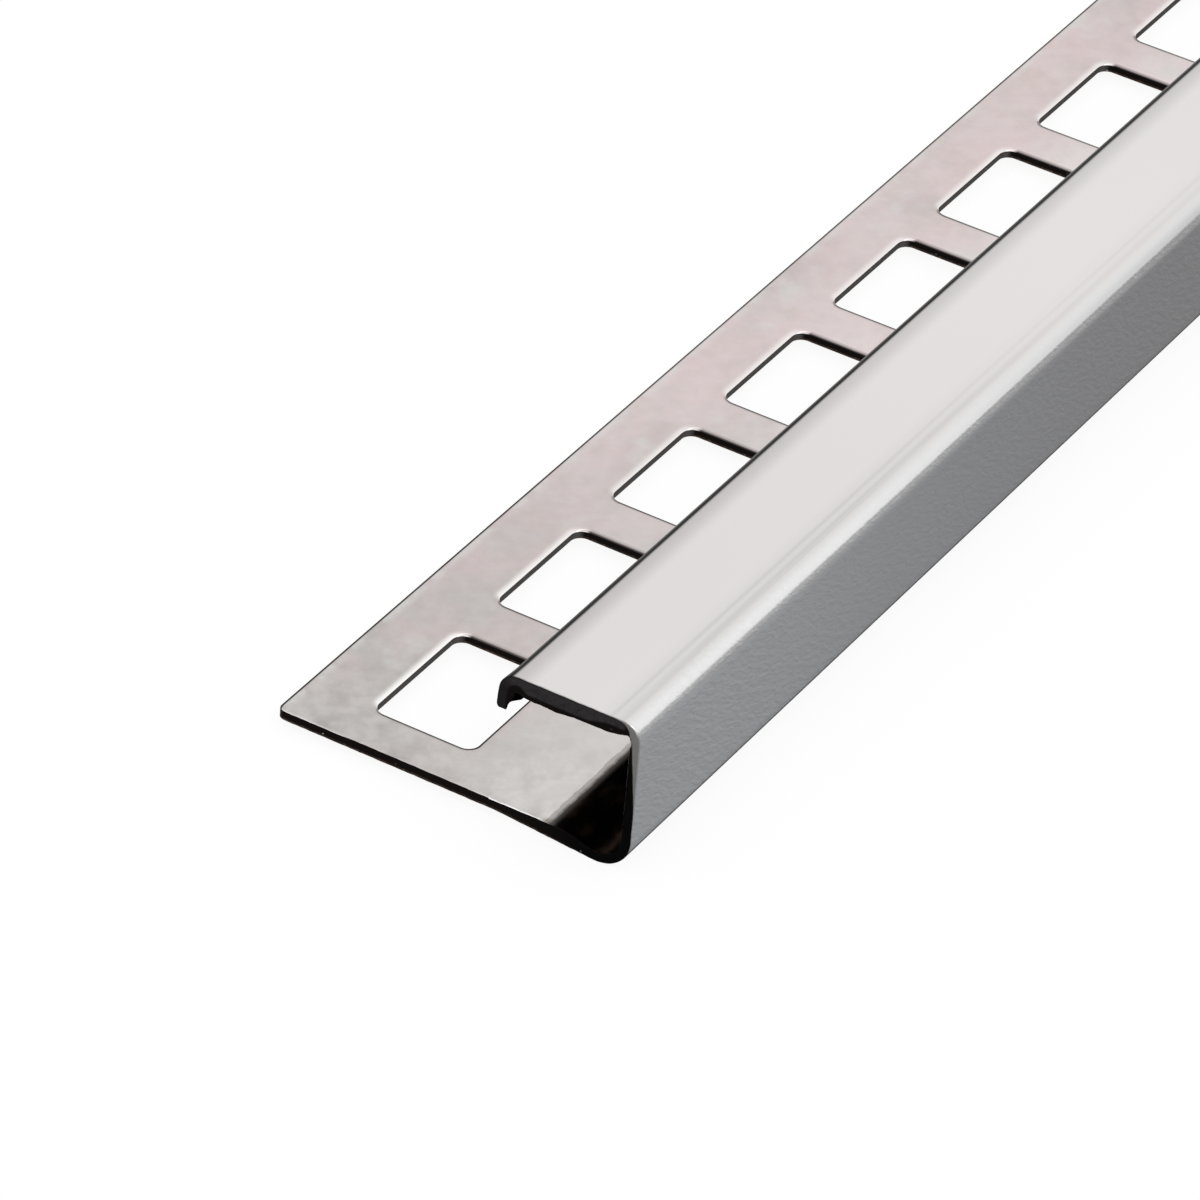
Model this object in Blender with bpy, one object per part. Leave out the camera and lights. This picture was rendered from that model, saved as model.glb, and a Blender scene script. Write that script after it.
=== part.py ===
import math

import bmesh
import bpy
from mathutils import Vector

# Edge trim for tiles, roll-formed from one strip of stainless sheet: a punched leg that is
# bedded under the tile, a wall that stays in view, a top face and a short lip that the
# tile butts against. X runs across the trim from the leg's free edge to the wall, Y along
# the bar and Z up. The origin is under the middle of the bar, at its lowest line.

# Driving dimensions, in metres
bar_length = 1.0
trim_height = 0.0125
trim_width = 0.029          # leg's free edge to the wall's outer side
sheet_thickness = 0.0008

top_width = 0.0112          # wall's outer side to the lip's outer side
lip_height = 0.0031         # top face to the lip's free edge
leg_lift = 0.00065          # flat part of the leg above the lowest line
leg_flat_width = 0.0182     # free edge to the place where the leg begins to dip

dip_bend_radius = 0.006     # inside radii of the bends
foot_bend_radius = 0.00185
shoulder_bend_radius = 0.0007
lip_bend_radius = 0.0006

hole_length = 0.01155       # along the bar
hole_width = 0.0083         # across the leg
hole_corner_radius = 0.001
hole_pitch = 0.0163
hole_edge_margin = 0.0054   # leg's free edge to the holes
hole_end_margin = 0.00405   # cut end to the first hole

# How finely curves are faceted
bend_facet_angle = math.radians(5)
corner_segments = 4

# How far a punch stands out of the sheet on each side
punch_overrun = 0.001


def remove_scene_objects():
    for old_object in list(bpy.data.objects):
        bpy.data.objects.remove(old_object, do_unlink=True)


# The leg dips along the tangent from its flat part to the foot bend, whose outer side
# touches the lowest line and the wall's outer side.
def dip_angle():
    foot_outer_radius = foot_bend_radius + sheet_thickness
    across = trim_width - leg_flat_width - foot_outer_radius
    rise = foot_outer_radius - leg_lift
    towards_centre = math.atan2(rise, across)
    return math.asin(foot_outer_radius / math.hypot(across, rise)) - towards_centre


# Corners of the sheet's outer side before bending, each with its bend's inside radius,
# from the leg's free edge under the leg, up the wall, over the top and down the lip.
def outer_side_corners():
    wall_x = trim_width / 2
    leg_edge_x = wall_x - trim_width
    lip_x = wall_x - top_width
    dip_x = leg_edge_x + leg_flat_width
    foot_z = leg_lift - math.tan(dip_angle()) * (wall_x - dip_x)
    return [
        (Vector((leg_edge_x, leg_lift)), None),
        (Vector((dip_x, leg_lift)), dip_bend_radius),
        (Vector((wall_x, foot_z)), foot_bend_radius),
        (Vector((wall_x, trim_height)), shoulder_bend_radius),
        (Vector((lip_x, trim_height)), lip_bend_radius),
        (Vector((lip_x, trim_height - lip_height)), None),
    ]


def left_of(direction):
    return Vector((-direction.y, direction.x))


# Points of the sheet's face that lies depth inside its outer side. The sheet's material
# is on the left of the path, so a left turn folds it inwards and a right turn outwards.
def sheet_face_points(depth):
    corners = outer_side_corners()
    first_heading = (corners[1][0] - corners[0][0]).normalized()
    last_heading = (corners[-1][0] - corners[-2][0]).normalized()
    points = [corners[0][0] + depth * left_of(first_heading)]
    for before, here, after in zip(corners, corners[1:], corners[2:]):
        heading_in = (here[0] - before[0]).normalized()
        heading_out = (after[0] - here[0]).normalized()
        turn = -heading_in.angle_signed(heading_out)
        side = math.copysign(1, turn)
        outer_radius = here[1] + (sheet_thickness if side > 0 else 0)
        setback = outer_radius * math.tan(abs(turn) / 2)
        centre = here[0] - setback * heading_in + side * outer_radius * left_of(heading_in)
        face_radius = outer_radius - side * depth
        steps = max(2, math.ceil(abs(turn) / bend_facet_angle))
        start = -side * left_of(heading_in)
        for step in range(steps + 1):
            angle = turn * step / steps
            spoke = Vector((
                start.x * math.cos(angle) - start.y * math.sin(angle),
                start.x * math.sin(angle) + start.y * math.cos(angle),
            ))
            points.append(centre + face_radius * spoke)
    points.append(corners[-1][0] + depth * left_of(last_heading))
    return points


# Closed outline of a rectangle with rounded corners, about the origin
def rounded_rectangle(width, length, radius):
    points = []
    for quarter in range(4):
        first_angle = quarter * math.pi / 2
        middle = first_angle + math.pi / 4
        corner_x = math.copysign(width / 2 - radius, math.cos(middle))
        corner_y = math.copysign(length / 2 - radius, math.sin(middle))
        for step in range(corner_segments + 1):
            angle = first_angle + math.pi / 2 * step / corner_segments
            points.append((corner_x + radius * math.cos(angle),
                           corner_y + radius * math.sin(angle)))
    return points


# A mesh object whose outline, a closed loop of 3-D points, is carried along a vector
def extruded_object(name, outline, travel):
    shape = bmesh.new()
    base = shape.faces.new([shape.verts.new(point) for point in outline])
    extruded = bmesh.ops.extrude_face_region(shape, geom=[base])
    moved = [item for item in extruded["geom"] if isinstance(item, bmesh.types.BMVert)]
    bmesh.ops.translate(shape, verts=moved, vec=travel)
    bmesh.ops.recalc_face_normals(shape, faces=shape.faces)
    mesh = bpy.data.meshes.new(name)
    shape.to_mesh(mesh)
    shape.free()
    new_object = bpy.data.objects.new(name, mesh)
    bpy.context.scene.collection.objects.link(new_object)
    return new_object


def stainless_steel():
    steel = bpy.data.materials.new("stainless_steel")
    steel.use_nodes = True
    surface = steel.node_tree.nodes["Principled BSDF"]
    surface.inputs["Base Color"].default_value = (0.62, 0.60, 0.58, 1.0)
    surface.inputs["Metallic"].default_value = 1.0
    surface.inputs["Roughness"].default_value = 0.3
    return steel


# The folded section, carried along the bar
def folded_strip():
    outer_face = sheet_face_points(0)
    inner_face = sheet_face_points(sheet_thickness)
    outline = [(x, -bar_length / 2, z) for x, z in outer_face + inner_face[::-1]]
    return extruded_object("trim_strip", outline, (0, bar_length, 0))


# As many holes as leave the same margin or more at the far end
def hole_count():
    room = bar_length - 2 * hole_end_margin - hole_length
    return int(room / hole_pitch) + 1


# The row of punches for the leg's holes: one rounded rectangle, repeated along the bar
def hole_punches():
    low = -punch_overrun
    height = leg_lift + sheet_thickness + 2 * punch_overrun
    outline = [(x, y, low) for x, y in
               rounded_rectangle(hole_width, hole_length, hole_corner_radius)]
    punches = extruded_object("hole_punches", outline, (0, 0, height))
    punches.location.x = hole_edge_margin + (hole_width - trim_width) / 2
    punches.location.y = hole_end_margin + (hole_length - bar_length) / 2
    repeat = punches.modifiers.new("along_bar", "ARRAY")
    repeat.count = hole_count()
    repeat.use_relative_offset = False
    repeat.use_constant_offset = True
    repeat.constant_offset_displace = (0, hole_pitch, 0)
    punches.display_type = "WIRE"
    punches.hide_render = True
    return punches


def build_trim():
    remove_scene_objects()
    strip = folded_strip()
    strip.data.materials.append(stainless_steel())
    strip.data.shade_smooth()
    strip.data.set_sharp_from_angle(angle=math.radians(30))
    punch = strip.modifiers.new("punch_holes", "BOOLEAN")
    punch.operation = "DIFFERENCE"
    punch.object = hole_punches()


build_trim()
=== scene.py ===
import math

import bpy
import numpy as np
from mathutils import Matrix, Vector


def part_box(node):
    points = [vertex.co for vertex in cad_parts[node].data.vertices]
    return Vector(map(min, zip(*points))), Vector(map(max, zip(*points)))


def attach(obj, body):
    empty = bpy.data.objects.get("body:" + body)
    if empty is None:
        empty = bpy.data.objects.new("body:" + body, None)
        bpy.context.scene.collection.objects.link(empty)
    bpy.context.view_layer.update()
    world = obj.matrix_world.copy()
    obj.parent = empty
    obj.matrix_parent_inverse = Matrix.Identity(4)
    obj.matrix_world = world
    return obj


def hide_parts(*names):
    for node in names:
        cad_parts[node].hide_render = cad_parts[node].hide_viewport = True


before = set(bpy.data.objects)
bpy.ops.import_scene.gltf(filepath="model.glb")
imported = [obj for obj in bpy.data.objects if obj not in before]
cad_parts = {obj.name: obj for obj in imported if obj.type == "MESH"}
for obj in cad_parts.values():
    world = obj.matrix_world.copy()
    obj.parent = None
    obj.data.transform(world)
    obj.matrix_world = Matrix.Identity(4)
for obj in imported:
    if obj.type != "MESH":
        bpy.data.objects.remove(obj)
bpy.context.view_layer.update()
mm = 0.001

# Everything below is worked out in millimetres, in the frame's own axes
lowCorner, highCorner = (np.array(corner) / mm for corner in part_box("trim_strip"))
barLength = highCorner[1] - lowCorner[1]
barWidth = highCorner[0] - lowCorner[0]
barHeight = highCorner[2] - lowCorner[2]

sheet = {
    "thickness": 0.8,
    "legFlat": 18.2,        # free edge to where the leg dips
    "legLift": 0.65,        # flat of the leg above the lowest line
    "topWidth": 11.2,
    "lipHeight": 3.1,
    "dipBend": 6.0,         # inside radii
    "footBend": 1.85,
    "shoulderBend": 0.7,
    "lipBend": 0.6,
    "bendStep": 7.0,        # degrees of a bend per facet
    "runStep": 4.0,         # longest facet across a flat run
    "besideBend": 0.06,     # support line next to each bend
    # past this line the leg's inner side takes the box's painted shade
    "lightLeg": 22.52,      # free edge to the line where the box's dark begins
    "legEdgePlaces": (0, 0.03, 0.08, 0.16, 0.3, 0.7, 1.6),      # support lines from the edge
    "insidePlaces": (-0.06, 0, 0.3, 0.7, 1.2, 1.8, 2.5),        # and past the light leg
    "lipEdgePlaces": (0.04, 0.1, 0.18, 0.28),                   # and back from the lip's edge
}

holes = {
    "across": 8.3,
    "along": 11.55,
    "corner": 1.0,
    "pitch": 16.3,
    "fromLegEdge": 5.4,
    "fromEnd": 4.05,
    "cornerSteps": 8,
    "cornerShare": 0.1,     # of the way from corner to corner that a bend takes
    "sideSteps": (3, 4),    # across, along
    "ringDistances": (0, 0.04, 0.1, 0.19, 0.31, 0.46, 0.65),
    "cellMargin": 1.3,      # how far a cell reaches past its hole across the leg
}

shearing = {
    "holeRoll": (0.6, 0.14),        # width and drop of the drawn-in edge round a hole
    "holeTaper": 0.07,              # how far a hole opens towards the leg's underside
    "holeSquare": 0.07,             # and how much further at its corners
    "holeDrift": 0.29,              # how far out the third hole and all beyond it reach
    "legEdgeRoll": (0.2, 0.1),
    "endRoll": (0.06, 0.03),
    "shoulderRoll": (0.06, 0.054),  # at the near end, fading down the wall
    "legCorner": 0.7,               # rounding of the leg's corners, seen from above
    "burrPlaces": (-1.4, -0.8, 0, 1, 3.7, 5.4, 7.9, 8.5, 10.5, 11, 12),    # past the shoulder
    "burrHangs": (0, 0.3, 0.4, 0.62, 0.65, 0.83, 0.72, 0.5, 0.5, 0.4, 0),
    "dipBurr": 0.03,                # stands on the leg's cut edge where it dips
    "burrWidth": 0.3,
    "lipFlare": 0.24,               # how far the cut pushed the lip outwards at the near end
    "lipFlareReach": 1.6,
    "lipNick": 0.42,                # how far the lip's edge is up just behind that end
    "lipNickStarts": (0.0, 0.3),
    "lipNickEnds": (0.5, 1.8),
    "lipEdgeRoll": (0.3, 0.16),     # on the lip's outer side, at its free edge
    "ragged": 0.05,                 # how far the near end wanders inwards
    "raggedReach": 0.9,
    "rowDistances": (0, 0.03, 0.08, 0.15, 0.25, 0.4, 0.6, 0.9),
    "columnStep": 0.25,
    "bendStep": 5.0,
    "wallSteps": 4,
}

welding = {
    "step": 0.002,          # points that share a cell of this size become one
    "shift": 0.137,         # share of a cell that keeps round numbers off its limits
    "sharpAngle": 38,       # degrees, where shading breaks
}

slopeReach = 0.01           # slopes are read this far to both sides


# The outer side of the sheet as a chain of straight runs and arcs. Each has its start,
# its heading, its curvature (one over the radius, positive to the left) and its length.
def sectionPath():
    thickness = sheet["thickness"]
    footRadius = sheet["footBend"] + thickness
    across = barWidth - sheet["legFlat"] - footRadius
    rise = footRadius - sheet["legLift"]
    dip = math.asin(footRadius / math.hypot(across, rise)) - math.atan2(rise, across)
    left, right = lowCorner[0], highCorner[0]
    corners = np.array([
        (left, sheet["legLift"]),
        (left + sheet["legFlat"], sheet["legLift"]),
        (right, sheet["legLift"] - math.tan(dip) * (barWidth - sheet["legFlat"])),
        (right, barHeight),
        (right - sheet["topWidth"], barHeight),
        (right - sheet["topWidth"], barHeight - sheet["lipHeight"]),
    ])
    headings = np.radians([0, 0, 90, 180, 270])
    headings[1] = -dip
    radii = np.array([sheet["dipBend"], footRadius,
                      sheet["shoulderBend"] + thickness, sheet["lipBend"] + thickness])
    turns = np.diff(headings)
    setbacks = radii * np.tan(np.abs(turns) / 2)
    runs = np.linalg.norm(np.diff(corners, axis=0), axis=1)
    runs[:-1] -= setbacks
    runs[1:] -= setbacks
    lengths = np.zeros(9)
    lengths[0::2] = runs
    lengths[1::2] = radii * np.abs(turns)
    curvatures = np.zeros(9)
    curvatures[1::2] = np.sign(turns) / radii
    startHeadings = np.repeat(headings, 2)[:9]
    starts = np.zeros((9, 2))
    starts[0] = corners[0]
    for i in range(8):
        starts[i + 1] = alongPiece(starts[i], startHeadings[i], curvatures[i], lengths[i])
    return starts, startHeadings, curvatures, lengths


# A piece of the path bends away from its start as a circle does: sine forwards, one
# minus cosine sideways, both over the curvature; with no curvature it runs straight.
def alongPiece(start, heading, curvature, distance):
    bend = curvature * distance
    safe = np.where(np.abs(curvature) < 1e-9, 1.0, curvature)
    forwards = np.where(np.abs(curvature) < 1e-9, distance, np.sin(bend) / safe)
    sideways = np.where(np.abs(curvature) < 1e-9, 0.0, (1 - np.cos(bend)) / safe)
    x = start[..., 0] + forwards * np.cos(heading) - sideways * np.sin(heading)
    z = start[..., 1] + forwards * np.sin(heading) + sideways * np.cos(heading)
    return np.stack([x, z], axis=-1)


pathStarts, pathHeadings, pathCurvatures, pathLengths = sectionPath()
pathMarks = np.concatenate([[0], np.cumsum(pathLengths)])   # where each piece begins
pathEnd = pathMarks[-1]
dipStart, footStart, footEnd = pathMarks[1], pathMarks[3], pathMarks[4]
shoulderStart, shoulderEnd = pathMarks[5], pathMarks[6]
lipBendStart, lipBendEnd = pathMarks[7], pathMarks[8]
insideStart = sheet["lightLeg"]


# The sheet in space: the path's point at that distance across, moved into the sheet
# along the path's left normal by the depth, and carried along the bar.
def sheetPoint(across, along, depth):
    piece = np.clip(np.searchsorted(pathMarks, across, side="right") - 1, 0, 8)
    local = across - pathMarks[piece]
    outer = alongPiece(pathStarts[piece], pathHeadings[piece], pathCurvatures[piece], local)
    heading = pathHeadings[piece] + pathCurvatures[piece] * local
    x = outer[..., 0] - depth * np.sin(heading)
    z = outer[..., 1] + depth * np.cos(heading)
    return np.stack([x, along, z], axis=-1)


# Smooth step from 0 to 1 between two edges: three squares less two cubes
def smoothStep(low, high, value):
    t = np.clip((value - low) / (high - low), 0, 1)
    return t * t * (3 - 2 * t)


# A wandering value between -1 and 1 along a line: sines of unrelated wavelengths, summed
def wander(value, wavelength, seed):
    turns = 2 * np.pi * value / wavelength
    total = np.sin(turns + seed) + 0.7 * np.sin(2.31 * turns + 2.1 * seed)
    total = total + 0.5 * np.sin(4.93 * turns + 3.7 * seed) + 0.4 * np.sin(8.17 * turns + seed)
    return total / 2.6


# Distance from the nearest hole's edge: distance to a rounded rectangle in a cell that
# repeats with the pitch, where the first and last cells stand for what lies beyond them.
def fromHole(across, along):
    firstCentre = lowCorner[1] + holes["fromEnd"] + holes["along"] / 2
    nearest = np.clip(np.round((along - firstCentre) / holes["pitch"]), 0, holeCount() - 1)
    u = np.abs(across - holes["fromLegEdge"] - holes["across"] / 2)
    v = np.abs(along - firstCentre - nearest * holes["pitch"])
    u = u - holes["across"] / 2 + holes["corner"]
    v = v - holes["along"] / 2 + holes["corner"]
    outside = np.hypot(np.maximum(u, 0), np.maximum(v, 0))
    return outside + np.minimum(np.maximum(u, v), 0) - holes["corner"]


# As many holes as fit between the plain lengths at the two ends
def holeCount():
    return int((barLength - 2 * holes["fromEnd"] - holes["along"]) / holes["pitch"]) + 1


# How far a drawn-in edge has dropped: a parabola, steepest at the edge, over its width
def edgeDrop(distance, width, drop):
    return drop * (1 - np.minimum(distance / width, 1)) ** 2


# Depth of the sheet's inner side, which is the leg's upper face: the thickness, less the
# drops at hole edges, leg edge and ends, plus the burrs left where the near end was cut.
# Over the dip the leg's upper face stays level up to the box.
def innerDepth(across, along):
    end = np.minimum(along - lowCorner[1], highCorner[1] - along)
    nearEnd = along - lowCorner[1]
    depth = sheet["thickness"] - edgeDrop(fromHole(across, along), *shearing["holeRoll"])
    depth = depth - edgeDrop(across, *shearing["legEdgeRoll"])
    depth = depth - edgeDrop(end, *shearing["endRoll"])
    level = np.maximum(across - dipStart, 0) * np.sin(-pathHeadings[2])
    level = level * (1 - smoothStep(insideStart, footStart, across))
    overDip = smoothStep(dipStart - 0.5, insideStart, across)
    overDip = overDip * (1 - smoothStep(footStart - 2.2, footStart, across))
    burr = np.interp(across - shoulderEnd, shearing["burrPlaces"], shearing["burrHangs"])
    burr = burr * (1 + 0.05 * wander(across, 2.2, 1.7))
    burr = burr + shearing["dipBurr"] * overDip * (1 + 0.1 * wander(across, 2.3, 0.4))
    return depth + level + burr * (1 - smoothStep(0.05, shearing["burrWidth"], nearEnd))


# Depth of the outer side: nothing, but for the drops at the ends and the lip's edge. At
# the near end the cut drew the shoulder in, less and less down the wall, and never over
# less than a hundredth.
def outerDepth(across, along):
    end = np.minimum(along - lowCorner[1], highCorner[1] - along)
    nearEnd = along - lowCorner[1]
    depth = edgeDrop(end, *shearing["endRoll"])
    depth = depth + edgeDrop(pathEnd - across, *shearing["lipEdgeRoll"])
    roll = smoothStep(footEnd, shoulderStart, across)
    roll = roll * (1 - smoothStep(shoulderEnd - 0.5, shoulderEnd + 1.5, across))
    width, drop = (size * roll for size in shearing["shoulderRoll"])
    return depth + edgeDrop(nearEnd, np.maximum(width, 0.01), drop)


# Round the leg's square corners, seen from above: the corner square of the sheet is
# pressed into a quarter disc, each side by the root of one less half the other squared.
def roundLegCorners(across, along):
    radius = shearing["legCorner"]
    a = np.clip(1 - across / radius, 0, 1)
    end = np.minimum(along - lowCorner[1], highCorner[1] - along)
    b = np.clip(1 - end / radius, 0, 1)
    side = np.where(along > 0, 1, -1)
    pressedA = a * np.sqrt(1 - b * b / 2)
    pressedB = b * np.sqrt(1 - a * a / 2)
    return across + radius * (a - pressedA), along - side * radius * (b - pressedB)


# Push points away from a hole, along the slope of the distance to it: the more the
# nearer they are to it and to the outer side, and most at its corners
def openHoles(across, along, depth):
    slopeAcross = fromHole(across + slopeReach, along) - fromHole(across - slopeReach, along)
    slopeAlong = fromHole(across, along + slopeReach) - fromHole(across, along - slopeReach)
    size = np.maximum(np.hypot(slopeAcross, slopeAlong), 1e-9)
    near = 1 - smoothStep(0, shearing["holeRoll"][0], fromHole(across, along))
    low = np.clip(1 - depth / sheet["thickness"], 0, 1)
    corner = 2 * np.abs(slopeAcross * slopeAlong) / size ** 2
    push = (shearing["holeTaper"] + shearing["holeSquare"] * corner) * near * low / size
    return across + push * slopeAcross, along + push * slopeAlong


# From the third hole on the holes reach further out: nothing moves at the leg's free
# edge, the holes' outer sides move most and their inner sides stay.
def holeDrift(across, along):
    outerSide, corner = holes["fromLegEdge"], holes["corner"]
    innerSide = outerSide + holes["across"]
    share = np.interp(across, [0.3, outerSide - 0.7, outerSide + corner, innerSide - corner],
                      [0, 1, 1, 0])
    thirdHole = lowCorner[1] + holes["fromEnd"] + 2 * holes["pitch"]
    secondEnd = thirdHole - holes["pitch"] + holes["along"]
    return shearing["holeDrift"] * share * smoothStep(secondEnd + 0.7, thirdHole - 0.7, along)


# How the leg's upper face leans at a place: the slope across is positive where it falls
# towards the wall, the slope along where it falls towards the far end. A fall to the
# far end also takes from the slope across.
def rimLeans(across, along):
    nearer, further = innerDepth(across - slopeReach, along), innerDepth(across + slopeReach, along)
    toWall = nearer - further
    nearer, further = innerDepth(across, along - slopeReach), innerDepth(across, along + slopeReach)
    toFarEnd = nearer - further
    onLeg = across < dipStart - 0.5
    leanAcross = np.clip((toWall - np.maximum(toFarEnd, 0)) / (2 * slopeReach), -1, 1)
    return leanAcross * onLeg, np.clip(toFarEnd / (2 * slopeReach), -1, 1) * onLeg


# The near end isn't quite straight: it wanders inwards by a few hundredths, less and
# less up to its reach
def ragEnd(across, along):
    nearEnd = along - lowCorner[1]
    inwards = shearing["ragged"] * (0.5 + 0.5 * wander(across, 1.9, 0.9))
    return along + inwards * (1 - smoothStep(0, shearing["raggedReach"], nearEnd))


# Places across the sheet: along each piece of the path between two limits, in steps
# that suit it, with a line close beside each bend so that flats shade flat, and a few
# at the lip's free edge and where the leg leaves its level inside the box
def acrossPlaces(low, high, runStep, bendStep):
    places = [low, high, *(insideStart + np.array(sheet["insidePlaces"])),
              *(pathEnd - np.array(sheet["lipEdgePlaces"]))]
    for i in range(9):
        first, last = pathMarks[i], pathMarks[i + 1]
        curved = pathCurvatures[i] != 0
        if curved:
            count = math.ceil(math.degrees(abs(pathCurvatures[i]) * (last - first)) / bendStep)
        else:
            first = first + sheet["besideBend"]
            last = last - sheet["besideBend"]
            count = math.ceil((last - first) / runStep)
        places.extend(np.linspace(first, last, count + 1))
    places = np.array(places)
    return np.unique(np.round(places[(places >= low) & (places <= high)], 6))


# Faces of a grid with columns counted along u and rows along v
def gridFaces(columns, rows, wrap=False):
    u, v = np.meshgrid(np.arange(columns if wrap else columns - 1), np.arange(rows - 1))
    u, v = u.ravel(), v.ravel()
    right = (u + 1) % columns
    return np.stack([v * columns + u, v * columns + right,
                     (v + 1) * columns + right, (v + 1) * columns + u], axis=1)


# Triangles between two rows with their own spacing: the rows' points are taken in the
# order of their places, and each one closes a triangle with the last point opposite.
def stitchFaces(lowerPlaces, upperPlaces):
    lowerCount = len(lowerPlaces)
    order = np.argsort(np.concatenate([lowerPlaces[1:], upperPlaces[1:]]), kind="stable")
    isLower = order < lowerCount - 1
    lowerDone = np.cumsum(isLower) - isLower
    upperDone = np.cumsum(~isLower) - ~isLower
    opposite = np.where(isLower, upperDone + lowerCount, lowerDone)
    second = np.where(isLower, lowerDone + 1, upperDone + 1 + lowerCount)
    third = np.where(isLower, lowerDone, upperDone + lowerCount)
    triangles = np.stack([opposite, np.where(isLower, third, second),
                          np.where(isLower, second, third)], axis=1)
    return np.concatenate([triangles, triangles[:, :1]], axis=1)    # as quads with a double


# Lists of places on the sheet, across and along, with faces that look to its inner side
def flatGrid(across, along):
    u, v = np.meshgrid(across, along)
    return u.ravel(), v.ravel(), gridFaces(len(across), len(along))


# Outline of a hole, counter-clockwise: the centre that each point turns about, its
# direction from there, so that a ring at any distance is centre plus radius times it,
# and its place, which grows by one from corner to corner with little of it in the bend.
def holeOutline():
    acrossSteps, alongSteps = holes["sideSteps"]
    bendShare = holes["cornerShare"]
    halfAcross = holes["across"] / 2 - holes["corner"]
    halfAlong = holes["along"] / 2 - holes["corner"]
    corners = np.array([(1, 1), (-1, 1), (-1, -1), (1, -1)]) * (halfAcross, halfAlong)
    share = np.linspace(0, 1, holes["cornerSteps"] + 1)
    centres, directions, places = [], [], []
    for i in range(4):
        angles = (i + share) * np.pi / 2
        centres.append(np.repeat(corners[i:i + 1], len(angles), axis=0))
        directions.append(np.stack([np.cos(angles), np.sin(angles)], axis=1))
        places.append(i + bendShare * share)
        steps = acrossSteps if i % 2 == 0 else alongSteps
        side = np.arange(1, steps) / steps
        centres.append(corners[i] + side[:, None] * (corners[(i + 1) % 4] - corners[i]))
        directions.append(np.repeat(directions[-1][-1:], steps - 1, axis=0))
        places.append(i + bendShare + (1 - bendShare) * side)
    return np.concatenate(centres), np.concatenate(directions), np.concatenate(places)


# One hole's cell: rings that grow outwards from the hole, then triangles to the cell's
# rectangle, whose border points are those of the grids beside it. The border's places
# come just before the corners', so that each corner is reached from its own side.
def holeCell():
    centres, directions, places = holeOutline()
    distances = np.array(holes["ringDistances"])[:, None, None]
    rings = centres + (holes["corner"] + distances) * directions
    count = len(centres)
    ringFaces = gridFaces(count, len(rings), wrap=True)[:, ::-1]
    x = holes["across"] / 2 + holes["cellMargin"]
    y = holes["pitch"] / 2
    border = [(x, y), (x / 3, y), (-x / 3, y), (-x, y), (-x, 0),
              (-x, -y), (-x / 3, -y), (x / 3, -y), (x, -y), (x, 0), (x, y)]
    borderPlaces = np.array([0, 1 / 3, 2 / 3, 1, 3 / 2, 2, 7 / 3, 8 / 3, 3, 7 / 2, 4]) - 0.02
    inner = np.concatenate([rings[-1], rings[-1][:1]])
    stitched = stitchFaces(np.append(places, 4), borderPlaces)[:, ::-1]
    points = np.concatenate([rings.reshape(-1, 2), inner, border])
    faces = np.concatenate([ringFaces, stitched + count * len(rings)])
    return points, faces


# Copies of one cell, one for each hole, moved along the bar by the pitch
def repeatCells(points, faces):
    firstCentre = lowCorner[1] + holes["fromEnd"] + holes["along"] / 2
    middles = firstCentre + holes["pitch"] * np.arange(holeCount())
    across = np.tile(points[:, 0], holeCount()) + holes["fromLegEdge"] + holes["across"] / 2
    along = (points[:, 1] + middles[:, None]).ravel()
    copies = faces + len(points) * np.arange(holeCount())[:, None, None]
    return across, along, copies.reshape(-1, 4)


# The whole sheet laid flat, with its holes, as patches that meet edge to edge
def flatPatches():
    firstCell = lowCorner[1] + holes["fromEnd"] + holes["along"] / 2 - holes["pitch"] / 2
    cellRows = firstCell + holes["pitch"] / 2 * np.arange(2 * holeCount() + 1)
    cellStart = holes["fromLegEdge"] - holes["cellMargin"]
    cellEnd = holes["fromLegEdge"] + holes["across"] + holes["cellMargin"]
    legEdge = np.array(sheet["legEdgePlaces"])
    outside = np.append(legEdge, cellStart)
    inside = acrossPlaces(cellEnd, pathEnd, sheet["runStep"], sheet["bendStep"])
    cellWidth = cellEnd - cellStart
    coarse = np.concatenate([outside, cellStart + cellWidth * np.array([1 / 3, 2 / 3]), inside])
    fine = acrossPlaces(0, pathEnd, shearing["columnStep"], shearing["bendStep"])
    fine = np.unique(np.round(np.concatenate([legEdge, fine]), 6))
    patches = [flatGrid(outside, cellRows), flatGrid(inside, cellRows), repeatCells(*holeCell())]
    rows = np.array(shearing["rowDistances"])
    for edge, side, border in ((lowCorner[1], 1, cellRows[0]), (highCorner[1], -1, cellRows[-1])):
        along = edge + side * rows
        across, places, faces = flatGrid(fine, along)
        patches.append((across, places, faces[:, ::side]))
        stitched = stitchFaces(fine, coarse)
        across = np.concatenate([fine, coarse])
        places = np.concatenate([np.full(len(fine), along[-1]), np.full(len(coarse), border)])
        patches.append((across, places, stitched[:, ::side]))
    return patches, fine, cellRows


# A wall through the sheet along a border: columns follow the border with the metal on
# its left, rows climb from the outer side to the inner one
def borderWall(across, along, wrap):
    steps = shearing["wallSteps"]
    share = np.repeat(np.arange(steps + 1) / steps, len(across))
    faces = gridFaces(len(across), steps + 1, wrap)
    return np.tile(across, steps + 1), np.tile(along, steps + 1), share, faces


# The cut edges of the sheet: round each hole, then the two ends, the lip's and the leg's
def wallPatches(fine, cellRows):
    centres, directions, _ = holeOutline()
    outline = (centres + holes["corner"] * directions)[::-1]
    across, along, share, faces = borderWall(outline[:, 0], outline[:, 1], True)
    across, along, faces = repeatCells(np.stack([across, along], axis=1), faces)
    rows = np.array(shearing["rowDistances"])
    sides = np.concatenate([lowCorner[1] + rows, cellRows, (highCorner[1] - rows)[::-1]])
    borders = [(fine, np.full(len(fine), lowCorner[1])),
               (fine[::-1], np.full(len(fine), highCorner[1])),
               (np.full(len(sides), pathEnd), sides),
               (np.zeros(len(sides)), sides[::-1])]
    return [(across, along, np.tile(share, holeCount()), faces),
            *(borderWall(*border, False) for border in borders)]


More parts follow.
